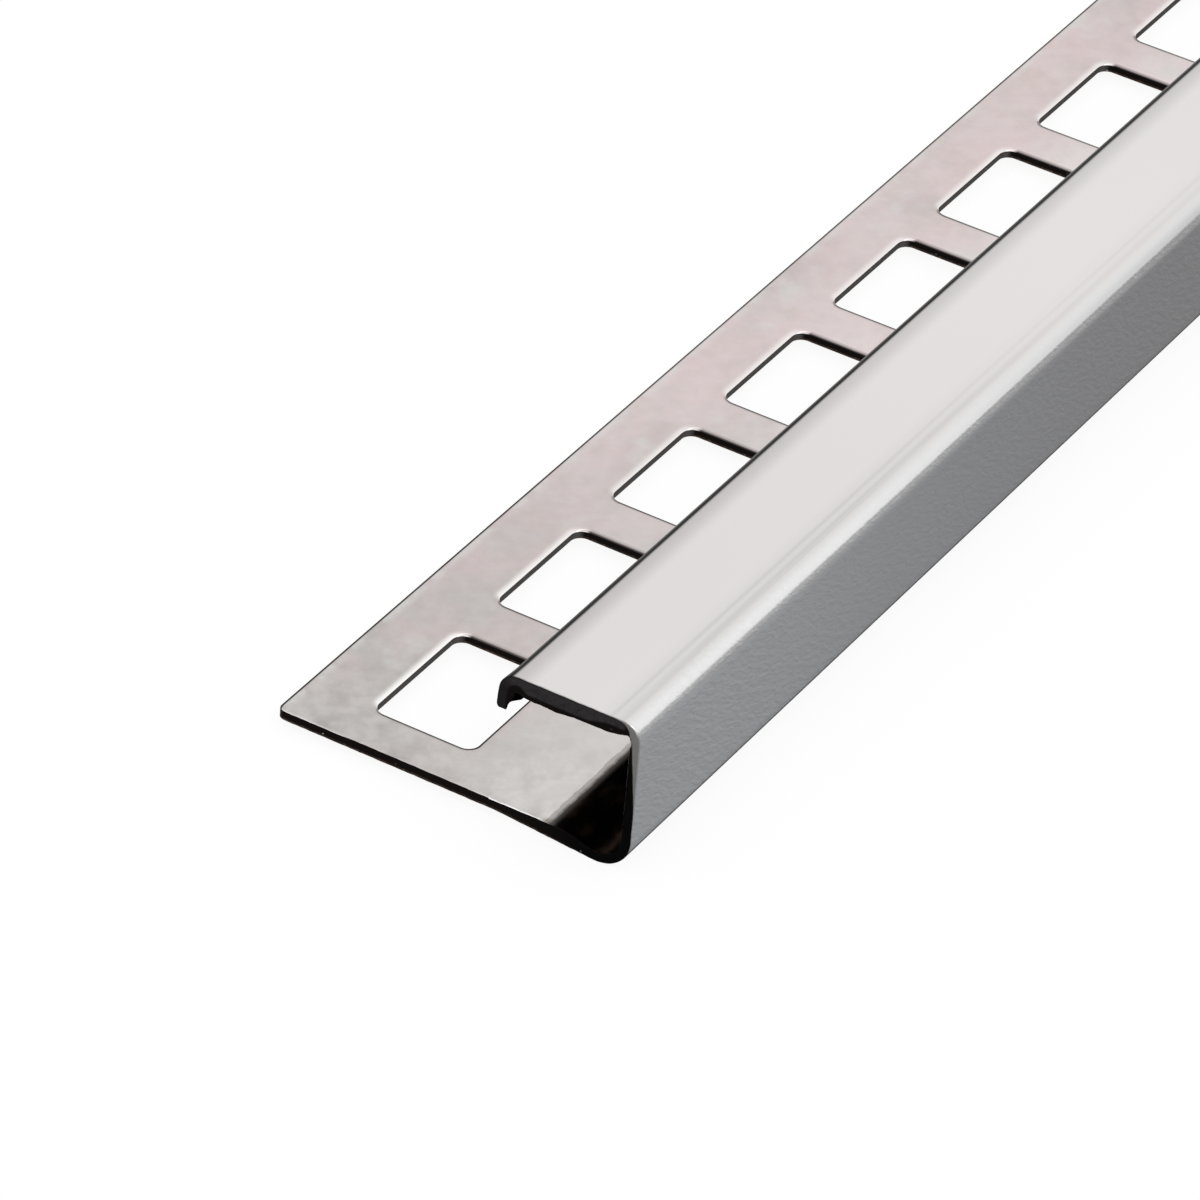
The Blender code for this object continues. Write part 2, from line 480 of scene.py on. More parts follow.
# The folded strip: each flat patch is laid on the inner and on the outer side of the
# sheet, the walls join the two, and points that coincide are welded into one.
def foldedStrip():
    legSteel, openSteel, boxSteel, shearedSteel = range(4)
    patches, fine, cellRows = flatPatches()
    parts = []
    for u, v, quads in patches:
        middle = u[quads].mean(axis=1)
        # the inner side past the light leg takes the box's painted shade
        innerSlots = np.where(middle < insideStart, legSteel, boxSteel)
        outerSlots = np.where(middle < footStart, legSteel, openSteel)
        parts.append((u, v, innerDepth(u, v), np.ones(len(u)), quads, innerSlots))
        parts.append((u, v, outerDepth(u, v), np.zeros(len(u)), quads[:, ::-1], outerSlots))
    for u, v, share, quads in wallPatches(fine, cellRows):
        low, high = outerDepth(u, v), innerDepth(u, v)
        parts.append((u, v, low + share * (high - low), share == 1, quads,
                      np.full(len(quads), shearedSteel)))
    across, along, depth, inner, faces, slots = zip(*parts)
    starts = np.cumsum([0] + [len(places) for places in across[:-1]])
    faces = np.concatenate([quads + first for quads, first in zip(faces, starts)])
    across, along, depth, inner, slots = map(np.concatenate, (across, along, depth, inner, slots))
    leanAcross, leanAlong = (lean * inner for lean in rimLeans(across, along))

    fromCut = np.minimum(np.maximum(fromHole(across, along), 0), across)
    fromCut = np.minimum(fromCut, np.minimum(along - lowCorner[1], highCorner[1] - along))
    bentAcross, bentAlong = openHoles(across, along, depth)
    bentAcross = bentAcross - holeDrift(across, along)
    bentAcross, bentAlong = roundLegCorners(bentAcross, ragEnd(bentAcross, bentAlong))
    points = sheetPoint(bentAcross, bentAlong, depth)
    nearEnd = along - lowCorner[1]
    flare = smoothStep(lipBendStart - 0.3, pathEnd, across)
    flare = flare * (1 - smoothStep(0, shearing["lipFlareReach"], nearEnd))
    points[:, 0] -= shearing["lipFlare"] * flare
    nick = smoothStep(*shearing["lipNickStarts"], nearEnd)
    nick = nick * (1 - smoothStep(*shearing["lipNickEnds"], nearEnd))
    points[:, 2] += shearing["lipNick"] * nick * smoothStep(lipBendEnd + 0.4, pathEnd, across)
    print("strip laid out:", len(points), "points,", len(faces), "faces")
    return weldedObject("trimStrip", points, faces, slots,
                        {"acrossSheet": across, "intoSheet": depth / sheet["thickness"],
                         "fromCut": fromCut, "leanAcross": leanAcross,
                         "leanAlong": leanAlong})


# One mesh of the patches: points in the same cell of a fine grid become one, faces left
# with fewer than three corners go, and doubled corners make triangles
def weldedObject(name, points, faces, slots, values):
    cells = np.round(points / welding["step"] + welding["shift"]).astype(np.int64)
    _, first, back = np.unique(cells, axis=0, return_index=True, return_inverse=True)
    faces = back.ravel()[faces]
    corners = 1 + (np.diff(np.sort(faces, axis=1), axis=1) > 0).sum(axis=1)
    faces, slots = faces[corners > 2], slots[corners > 2]
    doubled = faces == np.roll(faces, 1, axis=1)
    loops = faces[~doubled]
    sizes = (~doubled).sum(axis=1)
    mesh = bpy.data.meshes.new(name)
    mesh.vertices.add(len(first))
    mesh.vertices.foreach_set("co", (points[first] * mm).astype(np.float32).ravel())
    mesh.loops.add(len(loops))
    mesh.loops.foreach_set("vertex_index", loops.astype(np.int32))
    mesh.polygons.add(len(faces))
    mesh.polygons.foreach_set("loop_start", (np.cumsum(sizes) - sizes).astype(np.int32))
    mesh.polygons.foreach_set("material_index", slots.astype(np.int32))
    mesh.update(calc_edges=True)
    for label, data in values.items():
        layer = mesh.attributes.new(label, "FLOAT", "POINT")
        layer.data.foreach_set("value", data[first].astype(np.float32))
    mesh.shade_smooth()
    mesh.set_sharp_from_angle(angle=math.radians(welding["sharpAngle"]))
    piece = bpy.data.objects.new(name, mesh)
    bpy.context.scene.collection.objects.link(piece)
    uses = np.zeros(len(mesh.edges), int)
    edgeOfLoop = np.zeros(len(mesh.loops), np.int32)
    mesh.loops.foreach_get("edge_index", edgeOfLoop)
    np.add.at(uses, edgeOfLoop, 1)
    print("strip welded:", len(first), "points,", len(faces), "faces,",
          int((uses != 2).sum()), "open edges")
    return piece


finishes = {
    "legNearEdge": (0.488, 0.465, 0.447),
    "legNearBox": (0.605, 0.583, 0.562),
    "legFarEdge": (0.69, 0.602, 0.597),
    "legFarBox": (0.79, 0.74, 0.735),
    "legBlush": (0.74, 0.56, 0.57),
    "legCool": (0.65, 0.67, 0.645),
    "legPale": (0.70, 0.71, 0.685),
    "legTan": (0.60, 0.53, 0.49),
    "legSmudge": (0.25, 0.235, 0.225),
    "legStain": (0.26, 0.15, 0.09),
    # pale specks and wear, and a painted highlight on the rims
    "legPaleSpotsAndHighlight": (0.97, 0.955, 0.945),
    # painted shade on the rims, at the leg's free edge and where the box begins
    "legPaintedShade": (0.05, 0.044, 0.042),
    # painted shade above the holes' far walls
    "legFarRimShade": (0.014, 0.008, 0.008),
    "topBright": (0.745, 0.72, 0.712),
    "topFar": (0.80, 0.775, 0.768),
    "topByLip": (0.575, 0.555, 0.55),
    "topFarByLip": (0.655, 0.635, 0.63),
    # painted reflection streak
    "topPaintedStreak": (0.635, 0.62, 0.612),
    # painted highlight on the shoulder bend, near and far
    "shoulderHighlightNear": (0.82, 0.82, 0.82),
    "shoulderHighlightFar": (0.69, 0.69, 0.69),
    "shoulderHighlightFarLow": (0.55, 0.55, 0.555),
    # painted shade where the foot and the lip turn under
    "turnShade": (0.035, 0.032, 0.032),
    "wallNear": (0.322, 0.328, 0.341),
    # painted shade: the wall darker along the bar
    "wallFarShade": (0.248, 0.246, 0.252),
    # painted highlight on the wall just below the shoulder
    "wallShoulderHighlight": (0.38, 0.38, 0.385),
    # painted light on the wall's wrinkles
    "wallWrinkleLight": (0.47, 0.48, 0.495),
    # mid tone at the edge of the painted shade, then the painted shade inside the box
    "boxShadeEdge": (0.13, 0.115, 0.105),
    "boxPaintedShade": (0.005, 0.004, 0.004),
    "boxWall": (0.42, 0.41, 0.40),
    "boxWallDull": (0.33, 0.32, 0.315),
    "boxStain": (0.05, 0.03, 0.022),
    # near black, painted shade on the cut
    "cutDark": (0.008, 0.006, 0.006),
    "cutLip": (0.017, 0.016, 0.017),
    # painted shade on the cut by the foot
    "cutFoot": (0.003, 0.003, 0.003),
    "cutTop": (0.034, 0.031, 0.032),
    "cutWall": (0.17, 0.168, 0.16),
    "cutBrown": (0.09, 0.06, 0.045),
    # painted light on cut faces that face across the bar
    "sideCutLight": (0.085, 0.078, 0.075),
    "grazing": (0.5, 0.5, 0.5),         # what glancing light keeps
}

patterns = {    # clouds: size in millimetres, stretch along the bar, low and high limit, detail
    "legDrift": (8.0, 1.6, 0.1, 0.6, 3.0),
    "legBlush": (6.0, 1.4, 0.36, 0.64, 3.0),
    "legCool": (4.2, 1.2, 0.55, 0.75, 3.0),
    "legTan": (2.7, 1.3, 0.5, 0.72, 3.0),
    "legPale": (1.7, 1.6, 0.4, 0.6, 3.0),
    "legSpecks": (1.1, 1.0, 0.3, 0.7, 5.0),
    "legSmudge": (2.0, 1.1, 0.4, 0.8, 5.0),
    "legWobble": (0.9, 1.0, 0.3, 0.7, 3.0),
    "legSheen": (2.2, 3.0, 0.3, 0.7, 3.0),
    "legGrain": (0.25, 8.0, 0.2, 0.8, 3.0),
    "topSheen": (9.0, 4.0, 0.3, 0.7, 3.0),
    "topLines": (0.5, 90.0, 0.3, 0.6, 3.0),
    "boxStain": (1.6, 2.0, 0.45, 0.8, 3.0),
    "boxDull": (3.0, 3.0, 0.3, 0.7, 3.0),
    "cutTorn": (0.3, 1.0, 0.4, 0.75, 3.0),
    "cutGlint": (0.4, 1.0, 0.7, 0.77, 3.0),
}


def withAlpha(colour):
    return (*colour, 1.0)


# A group with numbers as inputs and a mask as its output
def newGroup(name, **inputs):
    group = bpy.data.node_groups.new(name, "ShaderNodeTree")
    for label, value in inputs.items():
        socket = group.interface.new_socket(label, in_out="INPUT", socket_type="NodeSocketFloat")
        socket.default_value = value
    group.interface.new_socket("Mask", in_out="OUTPUT", socket_type="NodeSocketFloat")
    given = group.nodes.new("NodeGroupInput").outputs
    return group, given, group.nodes.new("NodeGroupOutput").inputs["Mask"]


def addNode(tree, kind, inputs=None, **settings):
    node = tree.nodes.new(kind)
    for key, value in settings.items():
        setattr(node, key, value)
    for key, value in (inputs or {}).items():
        if isinstance(value, bpy.types.NodeSocket):
            tree.links.new(value, node.inputs[key])
        else:
            node.inputs[key].default_value = value
    return node


def math2(tree, operation, first, second=0.0):
    return addNode(tree, "ShaderNodeMath", {0: first, 1: second}, operation=operation).outputs[0]


def remap(tree, value, low, high, toLow=0.0, toHigh=1.0, kind="SMOOTHSTEP"):
    limits = {"Value": value, "From Min": low, "From Max": high, "To Min": toLow, "To Max": toHigh}
    return addNode(tree, "ShaderNodeMapRange", limits, interpolation_type=kind).outputs["Result"]


# From the first colour to the second as the mask climbs; a name stands for its finish
def mixColour(tree, mask, first, second):
    first, second = (withAlpha(finishes[colour]) if isinstance(colour, str) else colour
                     for colour in (first, second))
    return addNode(tree, "ShaderNodeMix", {0: mask, 6: first, 7: second},
                   data_type="RGBA").outputs[2]


def product(tree, first, *others):
    for other in others:
        first = math2(tree, "MULTIPLY", first, other)
    return first


def highest(tree, first, *others):
    for other in others:
        first = math2(tree, "MAXIMUM", first, other)
    return first


def attribute(tree, name):
    return addNode(tree, "ShaderNodeAttribute", attribute_name=name).outputs["Fac"]


# Object coordinates scaled along the bar and the two ways across it
def stretched(tree, place, across, along):
    scale = addNode(tree, "ShaderNodeCombineXYZ", {0: across, 1: along, 2: across})
    return addNode(tree, "ShaderNodeVectorMath", {0: place, 1: scale.outputs[0]},
                   operation="MULTIPLY").outputs[0]


# Cloudy unevenness: noise on object coordinates, stretched along the bar, read as a mask
def cloudGroup():
    group, given, result = newGroup("cloud", Size=3.0, Stretch=1.0, Detail=3.0, Low=0.35, High=0.65)
    place = addNode(group, "ShaderNodeTexCoord").outputs["Object"]
    perSize = math2(group, "DIVIDE", 1000.0, given["Size"])
    along = math2(group, "DIVIDE", perSize, given["Stretch"])
    noise = addNode(group, "ShaderNodeTexNoise",
                    {"Vector": stretched(group, place, perSize, along), "Scale": 1.0,
                     "Detail": given["Detail"], "Roughness": 0.55})
    group.links.new(remap(group, noise.outputs["Fac"], given["Low"], given["High"]), result)
    return group


# Fine wrinkles that run aslant down the wall, as a relief: noise drawn out along its own
# lines, less the same noise read a little lower. Laid on the wall's colour it is painted
# light and shade on the wrinkles; it also gives their bumps and roughness.
def wrinkleGroup():
    group, given, result = newGroup("wrinkle", Width=0.4, Length=2.0, Slant=0.5)
    place = addNode(group, "ShaderNodeTexCoord").outputs["Object"]
    turned = addNode(group, "ShaderNodeVectorRotate", {"Vector": place, "Angle": given["Slant"]},
                     rotation_type="X_AXIS").outputs[0]
    scaled = stretched(group, turned, math2(group, "DIVIDE", 1000.0, given["Width"]),
                       math2(group, "DIVIDE", 1000.0, given["Length"]))
    lower = addNode(group, "ShaderNodeVectorMath", {0: scaled, 1: (0.0, 0.0, -0.35)},
                    operation="ADD").outputs[0]
    here, below = (addNode(group, "ShaderNodeTexNoise",
                           {"Vector": vector, "Scale": 1.0, "Detail": 2.0,
                            "Distortion": 0.5}).outputs["Fac"] for vector in (scaled, lower))
    relief = math2(group, "SUBTRACT", here, below)
    group.links.new(remap(group, relief, -0.16, 0.16, 0.0, 1.0, "LINEAR"), result)
    return group


# Nearness to a sheared edge: one at the edge, fading over the width, broken by noise
def edgeGroup():
    group, given, result = newGroup("nearCut", Width=0.1, Broken=0.3)
    place = addNode(group, "ShaderNodeTexCoord").outputs["Object"]
    noise = addNode(group, "ShaderNodeTexNoise", {"Vector": place, "Scale": 1800.0, "Detail": 2.0})
    wobble = product(group, math2(group, "SUBTRACT", noise.outputs["Fac"], 0.5),
                     given["Broken"], given["Width"])
    reach = math2(group, "ADD", given["Width"], wobble)
    group.links.new(remap(group, attribute(group, "fromCut"), 0.0, reach, 1.0, 0.0), result)
    return group


groups = {"cloud": cloudGroup(), "wrinkle": wrinkleGroup(), "nearCut": edgeGroup()}


def useGroup(tree, name, inputs):
    node = tree.nodes.new("ShaderNodeGroup")
    node.node_tree = groups[name]
    for key, value in inputs.items():
        node.inputs[key].default_value = value
    return node.outputs["Mask"]


def newSteel(name):
    material = bpy.data.materials.new(name)
    material.use_nodes = True
    tree = material.node_tree
    surface = tree.nodes["Principled BSDF"]
    surface.inputs["Metallic"].default_value = 1.0
    surface.inputs["Specular Tint"].default_value = withAlpha(finishes["grazing"])
    return material, tree, surface


def cloudMask(tree, name):
    sockets = ("Size", "Stretch", "Low", "High", "Detail")
    return useGroup(tree, "cloud", dict(zip(sockets, patterns[name])))


# A mask that climbs from 0 to 1 between two places across the sheet
def acrossMask(tree, low, high):
    return remap(tree, attribute(tree, "acrossSheet"), low, high)


# A mask that climbs between the first two places across the sheet and falls between the
# last two
def acrossBand(tree, zeroBefore, oneFrom, oneTo, zeroAfter):
    return product(tree, acrossMask(tree, zeroBefore, oneFrom),
                   acrossMask(tree, zeroAfter, oneTo))


# A mask that climbs from 0 to 1 between two distances from the near end
def alongMask(tree, low, high):
    place = addNode(tree, "ShaderNodeTexCoord").outputs["Object"]
    along = addNode(tree, "ShaderNodeSeparateXYZ", {0: place}).outputs["Y"]
    return remap(tree, along, (lowCorner[1] + low) * mm, (lowCorner[1] + high) * mm)


# A value that goes from one to another as a mask climbs from 0 to 1
def between(tree, mask, atZero, atOne):
    return remap(tree, mask, 0.0, 1.0, atZero, atOne)


def alongFade(tree, low, high, atLow, atHigh):
    return between(tree, alongMask(tree, low, high), atLow, atHigh)


# Finishes laid over a colour in turn, each as far as its mask says
def overlay(tree, colour, *layers):
    for name, mask in layers:
        colour = mixColour(tree, mask, colour, name)
    return colour


def dress(tree, surface, colour, roughness, height=None, relief=0.0, strength=1.0):
    tree.links.new(colour, surface.inputs["Base Color"])
    tree.links.new(roughness, surface.inputs["Roughness"])
    if height is not None:
        bump = addNode(tree, "ShaderNodeBump",
                       {"Height": height, "Distance": relief * mm, "Strength": strength})
        tree.links.new(bump.outputs[0], surface.inputs["Normal"])


# The leg goes from a near to a far colour along the bar, both paler towards the box. Tints
# lie on it in clouds, then pale specks, smudges and a stain, then pale wear along the near
# cut that is partly a painted glint. Over them lies painted light and shade on the rims: a
# painted highlight where its face falls to the wall, painted shade where it falls the other
# ways, above the holes' far walls, at its free edge, and where the box's painted shade begins.
def makeLegSteel():
    material, tree, surface = newSteel("legSteel")
    drift = product(tree, alongMask(tree, 3, 60), cloudMask(tree, "legDrift"))
    nearColour = mixColour(tree, acrossMask(tree, 8.0, 21.5), "legNearEdge", "legNearBox")
    farColour = mixColour(tree, acrossMask(tree, 4.0, 14.5), "legFarEdge", "legFarBox")
    blush = product(tree, cloudMask(tree, "legBlush"), alongFade(tree, 1, 12, 0.08, 0.28),
                    between(tree, acrossMask(tree, 13, 17), 1.0, 0.3))
    cool = product(tree, cloudMask(tree, "legCool"), 0.5)
    tan = product(tree, cloudMask(tree, "legTan"), alongFade(tree, 15, 60, 0.1, 0.45))
    pale = product(tree, cloudMask(tree, "legPale"), acrossMask(tree, 1.1, 0.35), 0.5)
    specks = product(tree, cloudMask(tree, "legSpecks"), alongFade(tree, 1, 12, 0.16, 0.08))
    soiled = math2(tree, "ADD", alongFade(tree, 20, 0.5, 0.1, 0.24),
                   product(tree, alongMask(tree, 1.3, 0.1), 0.35))
    smudge = product(tree, cloudMask(tree, "legSmudge"), soiled)
    stain = product(tree, acrossMask(tree, insideStart - 1.1, insideStart - 0.3),
                    alongMask(tree, 0.8, 0.1), 0.6)
    byBoxCut = product(tree, alongMask(tree, 0.6, 0.3), acrossMask(tree, 14, 18))
    # pale wear along the near cut, partly a painted glint
    byCutEdge = product(tree, useGroup(tree, "nearCut", {"Width": 0.2, "Broken": 2.5}),
                   between(tree, byBoxCut, 0.2, 0.75))
    lean = attribute(tree, "leanAcross")
    # painted highlight where the rim's face falls towards the wall
    rimHighlight = product(tree, remap(tree, lean, 0.0, 0.44), alongFade(tree, 8, 45, 1.0, 0.6))
    # painted shade on the leg above the holes' far walls, stronger towards the wall
    farLean = math2(tree, "ADD", attribute(tree, "leanAlong"),
                    product(tree, highest(tree, lean, 0.0), 1.6))
    farRimShade = product(tree, remap(tree, farLean, -0.12, -0.48), acrossMask(tree, 5.0, 6.4))
    # painted shade: darker at the leg's free edge and where its face falls away from the wall
    freeEdgeShade = product(tree, acrossMask(tree, 0.27, 0.17), alongFade(tree, 20, 70, 1.0, 0.8))
    wobble = product(tree, math2(tree, "SUBTRACT", cloudMask(tree, "legWobble"), 0.5), 0.12)
    toBox = math2(tree, "ADD", attribute(tree, "acrossSheet"), wobble)
    # painted shade where the box begins, with a thin painted dark line just before it
    byBox = remap(tree, toBox, insideStart - 0.5, insideStart + 0.05, 0.0, 1.0, "LINEAR")
    boxShadeLine = product(tree, remap(tree, toBox, insideStart - 0.58, insideStart - 0.46), 0.4)
    rimShade = highest(tree, remap(tree, lean, -0.28, -0.38), freeEdgeShade, byBox, boxShadeLine)
    colour = overlay(tree, mixColour(tree, drift, nearColour, farColour),
                     ("legBlush", blush), ("legCool", cool), ("legTan", tan),
                     ("legPale", pale), ("legPaleSpotsAndHighlight", specks), ("legSmudge", smudge),
                     ("legStain", stain), ("legPaleSpotsAndHighlight", byCutEdge), ("legPaleSpotsAndHighlight", rimHighlight),
                     ("legFarRimShade", farRimShade), ("legPaintedShade", rimShade))
    dress(tree, surface, colour, between(tree, cloudMask(tree, "legSheen"), 0.06, 0.11),
          cloudMask(tree, "legGrain"), 0.001, 0.5)
    return material


# The open side: a polished top that darkens to the lip and has painted reflection streaks
# beside the shoulder's painted highlight, which dims along the bar; a wrinkled grey wall
# with painted light and shade on its wrinkles, a painted highlight just below the shoulder
# and painted shade that darkens it along the bar; and painted shade as dark lines where
# the foot and the lip turn under
def makeOpenSteel():
    material, tree, surface = newSteel("openSteel")
    sheen = cloudMask(tree, "topSheen")
    toFar = alongMask(tree, 10, 80)
    top = mixColour(tree, toFar, "topBright", "topFar")
    top = overlay(tree, top, ("shoulderHighlightNear", product(tree, sheen, 0.1)))
    byLip = acrossMask(tree, lipBendStart - 1.5, lipBendStart + 0.1)
    top = mixColour(tree, byLip, top, mixColour(tree, toFar, "topByLip", "topFarByLip"))
    # painted reflection streaks beside the shoulder
    narrow = acrossBand(tree, shoulderEnd - 0.4, shoulderEnd + 0.05,
                        shoulderEnd + 0.25, shoulderEnd + 0.7)
    line = acrossBand(tree, shoulderEnd + 0.6, shoulderEnd + 0.85,
                      shoulderEnd + 0.95, shoulderEnd + 1.25)
    broad = acrossMask(tree, shoulderEnd + 2.2, shoulderEnd + 0.7)
    streak = highest(tree, narrow, product(tree, broad, 0.45), product(tree, line, 0.9))
    streak = product(tree, streak, between(tree, cloudMask(tree, "topLines"), 0.6, 1.0),
                     alongFade(tree, 15, 80, 1.0, 0.4))
    # painted highlight on the shoulder bend, dimmer along the bar
    bend = mixColour(tree, acrossMask(tree, shoulderEnd - 0.55, shoulderEnd - 1.2),
                     "shoulderHighlightFar", "shoulderHighlightFarLow")
    bend = mixColour(tree, alongMask(tree, 15, 105), "shoulderHighlightNear", bend)
    top = overlay(tree, top, ("topPaintedStreak", streak))
    top = mixColour(tree, acrossMask(tree, shoulderEnd + 0.05, shoulderEnd - 0.95), top, bend)

    peel = useGroup(tree, "wrinkle", {"Width": 0.36, "Length": 1.1, "Slant": 0.5})
    wrinkles = product(tree, peel, alongFade(tree, 2, 45, 0.5, 0.22))
    # painted highlight on the wall just below the shoulder
    shoulderGlow = acrossMask(tree, shoulderStart + 0.25, shoulderStart + 0.6)
    # the wall darkens along the bar as painted shade
    wall = mixColour(tree, alongMask(tree, 2, 85), "wallNear", "wallFarShade")
    wall = overlay(tree, wall, ("wallWrinkleLight", wrinkles), ("wallShoulderHighlight", shoulderGlow))
    onTop = acrossMask(tree, shoulderStart + 0.5, shoulderStart + 1.1)
    onTop = math2(tree, "SUBTRACT", onTop, product(tree, wrinkles, 0.15))
    onTop = highest(tree, onTop, acrossMask(tree, shoulderStart + 1.0, shoulderEnd))

    byCutEdge = product(tree, useGroup(tree, "nearCut", {"Width": 0.12, "Broken": 0.8}), 0.7)
    # painted shade: dark lines where the foot and the lip turn under
    footTurnShade = acrossBand(tree, footEnd - 2.6, footEnd - 1.8, footEnd - 1.0, footEnd - 0.6)
    turnShade = acrossBand(tree, lipBendStart + 0.28, lipBendStart + 0.66,
                         lipBendStart + 1.5, lipBendEnd)
    colour = overlay(tree, mixColour(tree, onTop, wall, top), ("cutWall", byCutEdge),
                     ("turnShade", highest(tree, footTurnShade, turnShade)))
    rough = addNode(tree, "ShaderNodeMix",
                    {0: onTop, 2: between(tree, peel, 0.36, 0.46),
                     3: between(tree, sheen, 0.12, 0.18)})
    height = product(tree, peel, math2(tree, "SUBTRACT", 1.0, onTop))
    dress(tree, surface, colour, rough.outputs[0], height, 0.02)
    return material


# Inside the box: painted shade, near black with stains, over the leg's dip and behind the
# lip, with a mid tone along its edge; dull steel on the wall and under the top
def makeBoxSteel():
    material, tree, surface = newSteel("boxSteel")
    stain = cloudMask(tree, "boxStain")
    colour = mixColour(tree, stain, "boxPaintedShade", "boxStain")
    wall = mixColour(tree, cloudMask(tree, "boxDull"), "boxWall", "boxWallDull")
    onWall = acrossBand(tree, footEnd - 1.4, footEnd + 0.6, lipBendStart, lipBendEnd)
    edge = acrossBand(tree, insideStart - 0.1, insideStart, insideStart, insideStart + 0.5)
    colour = overlay(tree, mixColour(tree, onWall, colour, wall), ("boxShadeEdge", edge))
    dress(tree, surface, colour, between(tree, stain, 0.3, 0.45))
    return material


# The cut through the sheet is near black, a painted shade, less so through the top, and
# darker still as painted shade by the foot. It has a lighter band on its outer part that
# widens up the wall and ends in a point past the shoulder. Where it faces across the bar
# it is a hole's wall, a little lighter: painted light. A few painted glints.
def makeShearedSteel():
    material, tree, surface = newSteel("shearedSteel")
    across, into = attribute(tree, "acrossSheet"), attribute(tree, "intoSheet")
    torn = cloudMask(tree, "cutTorn")
    inBurr = acrossBand(tree, shoulderEnd + 1.0, shoulderEnd + 3.0,
                        lipBendStart - 0.9, lipBendStart + 0.1)
    inSheet = math2(tree, "SUBTRACT", into, product(tree, inBurr, 0.55))
    onTop = product(tree, acrossMask(tree, shoulderEnd - 0.6, shoulderEnd),
                    remap(tree, inSheet, 1.0, 0.75),
                    math2(tree, "SUBTRACT", 1.0, product(tree, torn, 0.5)),
                    remap(tree, into, 0.0, 0.3, 0.45, 1.0))
    topCut = mixColour(tree, acrossMask(tree, lipBendStart, lipBendEnd), "cutTop", "cutLip")
    # painted shade, darker by the foot
    footCutShade = acrossBand(tree, dipStart + 1.0, footStart, shoulderStart - 3.0, shoulderStart)
    byFloor = product(tree, remap(tree, into, 0.35, 0.1), between(tree, torn, 0.3, 1.0),
                      acrossMask(tree, footStart, dipStart))
    upWall = remap(tree, across, footEnd + 2.3, shoulderStart + 0.6, 0.0, 0.9, "LINEAR")
    pastShoulder = remap(tree, across, shoulderStart + 1.0, shoulderEnd + 0.3, 1.0, 0.0,
                         "LINEAR")
    limit = product(tree, upWall, pastShoulder)
    band = remap(tree, math2(tree, "SUBTRACT", limit, into), -0.04, 0.08)
    # painted light on cut faces that face across the bar
    facing = addNode(tree, "ShaderNodeNewGeometry").outputs["Normal"]
    facing = addNode(tree, "ShaderNodeSeparateXYZ", {0: facing}).outputs["X"]
    acrossFacingLight = remap(tree, math2(tree, "ABSOLUTE", facing), 0.3, 0.8)
    # painted glints: one below the shoulder's inner edge and a few scattered
    paintedGlint = product(tree, remap(tree, into, 0.8, 0.95),
                    acrossBand(tree, shoulderStart - 0.5, shoulderStart - 0.2,
                               shoulderStart + 0.2, shoulderStart + 0.4))
    paintedGlint = highest(tree, paintedGlint, cloudMask(tree, "cutGlint"))
    colour = overlay(tree, mixColour(tree, onTop, "cutDark", topCut),
                     ("cutFoot", footCutShade), ("cutBrown", byFloor), ("cutWall", band),
                     ("sideCutLight", acrossFacingLight), ("legNearEdge", paintedGlint))
    dress(tree, surface, colour, between(tree, torn, 0.5, 0.4), torn, 0.01)
    return material


stage = {
    "floorSize": 6.0,
    "floorColour": (0.97, 0.97, 0.97),
    "floorRoughness": 0.9,
    "floorWhite": 0.9,          # share of plain white that the camera and reflections see
    "worldColour": (0.52, 0.52, 0.52),
    "worldStrength": 1.0,
    "lamps": {
        "backBox": {"place": (0.05, 1.6, 2.0), "size": (6.2, 3.3), "watts": 32.0},
        "overBox": {"place": (0.0, 0.0, 3.4), "size": (6.2, 1.7), "watts": 16.5},
        "frontBox": {"place": (0.05, -1.6, 2.0), "size": (6.2, 3.3), "watts": 32.0},
        "sideBox": {"place": (1.6, -0.5, 2.0), "size": (2.2, 2.2), "watts": 18.0},
    },
}

camera = {
    "place": (0.21874, -0.88646, 0.33165),
    "turn": (54.6553, -4.1814, 31.2872),    # degrees
    "lens": 238.906,
    "sensor": 36.0,
    "clipStart": 0.01,
}


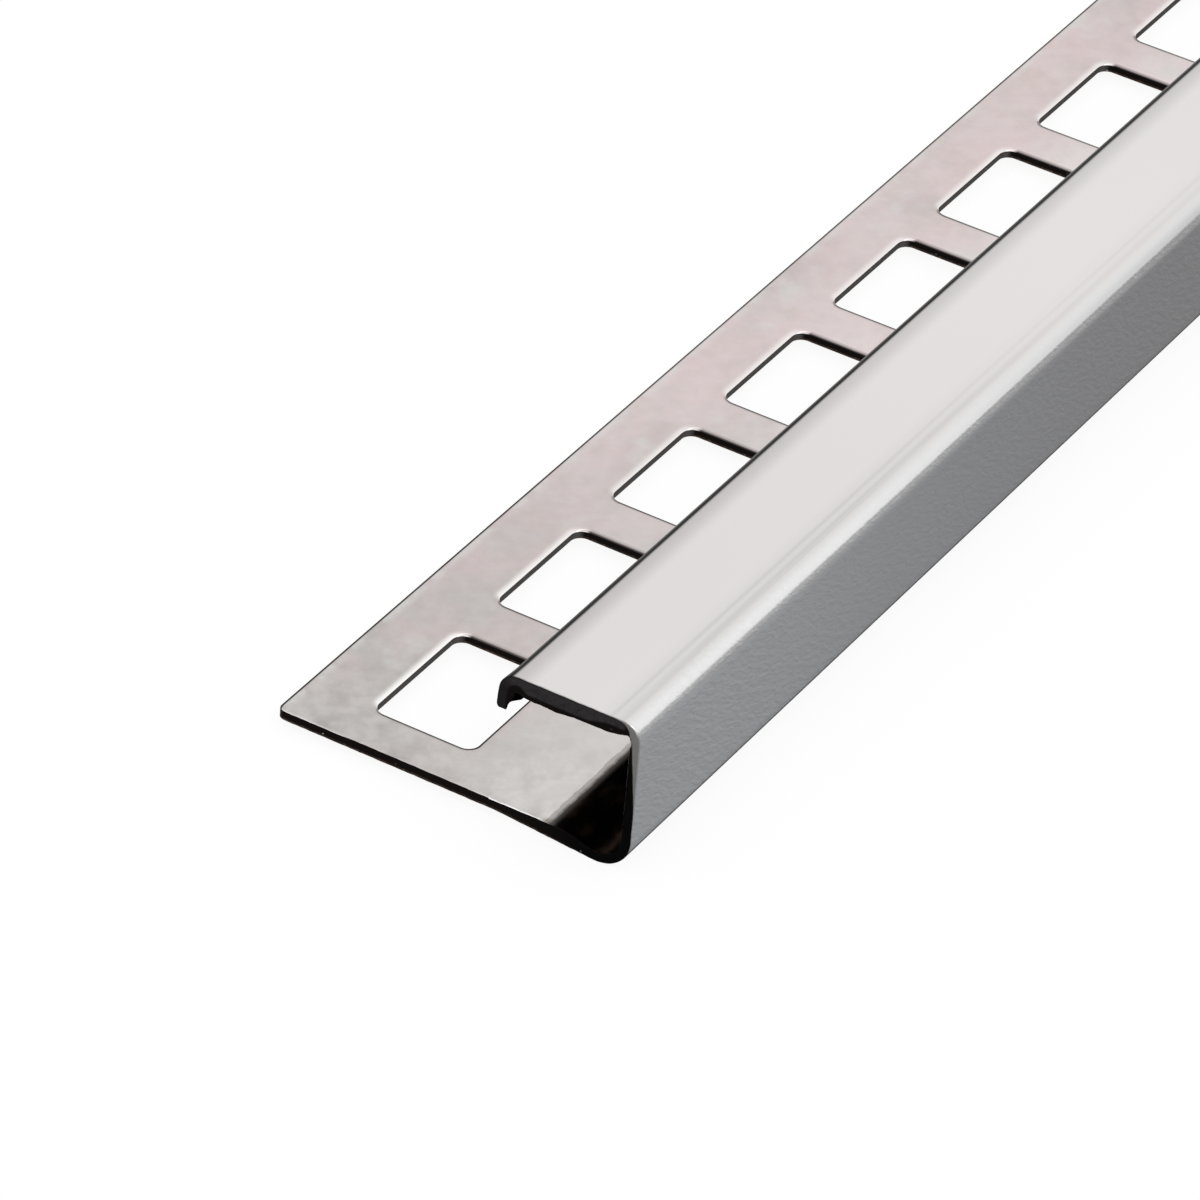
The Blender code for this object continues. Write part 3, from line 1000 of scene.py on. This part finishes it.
# A matt floor that takes the shadow, mixed with plain white for the camera and for what
# the steel reflects
def makeFloor():
    half = stage["floorSize"] / 2
    mesh = bpy.data.meshes.new("floor")
    mesh.from_pydata([(-half, -half, 0), (half, -half, 0), (half, half, 0), (-half, half, 0)],
                     [], [(0, 1, 2, 3)])
    floor = bpy.data.objects.new("floor", mesh)
    bpy.context.scene.collection.objects.link(floor)
    material = bpy.data.materials.new("paleFloor")
    material.use_nodes = True
    tree = material.node_tree
    surface = tree.nodes["Principled BSDF"]
    surface.inputs["Base Color"].default_value = withAlpha(stage["floorColour"])
    surface.inputs["Roughness"].default_value = stage["floorRoughness"]
    surface.inputs["Specular IOR Level"].default_value = 0.0
    white = addNode(tree, "ShaderNodeEmission", {"Color": (1, 1, 1, 1), "Strength": 1.0})
    rays = addNode(tree, "ShaderNodeLightPath")
    seen = highest(tree, rays.outputs["Is Camera Ray"], rays.outputs["Is Glossy Ray"],
                   rays.outputs["Is Transmission Ray"])
    mixed = addNode(tree, "ShaderNodeMixShader", {0: product(tree, seen, stage["floorWhite"])})
    tree.links.new(surface.outputs[0], mixed.inputs[1])
    tree.links.new(white.outputs[0], mixed.inputs[2])
    tree.links.new(mixed.outputs[0], tree.nodes["Material Output"].inputs["Surface"])
    mesh.materials.append(material)


def makeLamp(name, setting):
    data = bpy.data.lights.new(name, "AREA")
    data.shape = "RECTANGLE"
    data.size, data.size_y = setting["size"]
    data.energy = setting["watts"]
    lamp = bpy.data.objects.new(name, data)
    lamp.location = setting["place"]
    towards = -lamp.location
    lamp.rotation_euler = towards.to_track_quat("-Z", "Y").to_euler()
    bpy.context.scene.collection.objects.link(lamp)


def makeWorld():
    world = bpy.data.worlds.new("studio")
    world.use_nodes = True
    background = world.node_tree.nodes["Background"]
    background.inputs["Color"].default_value = withAlpha(stage["worldColour"])
    background.inputs["Strength"].default_value = stage["worldStrength"]
    bpy.context.scene.world = world
    bpy.context.scene.view_settings.view_transform = "Standard"


def makeCamera():
    data = bpy.data.cameras.new("camera")
    data.lens = camera["lens"]
    data.sensor_width = camera["sensor"]
    data.clip_start = camera["clipStart"]
    viewer = bpy.data.objects.new("camera", data)
    viewer.location = camera["place"]
    viewer.rotation_euler = [math.radians(angle) for angle in camera["turn"]]
    bpy.context.scene.collection.objects.link(viewer)
    bpy.context.scene.camera = viewer


strip = foldedStrip()
for makeMaterial in (makeLegSteel, makeOpenSteel, makeBoxSteel, makeShearedSteel):
    strip.data.materials.append(makeMaterial())
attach(strip, "root")
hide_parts("trim_strip")
print("finishes done:", ", ".join(material.name for material in strip.data.materials))

makeFloor()
for lampName, lampSetting in stage["lamps"].items():
    makeLamp(lampName, lampSetting)
makeWorld()
makeCamera()
print("stage done")
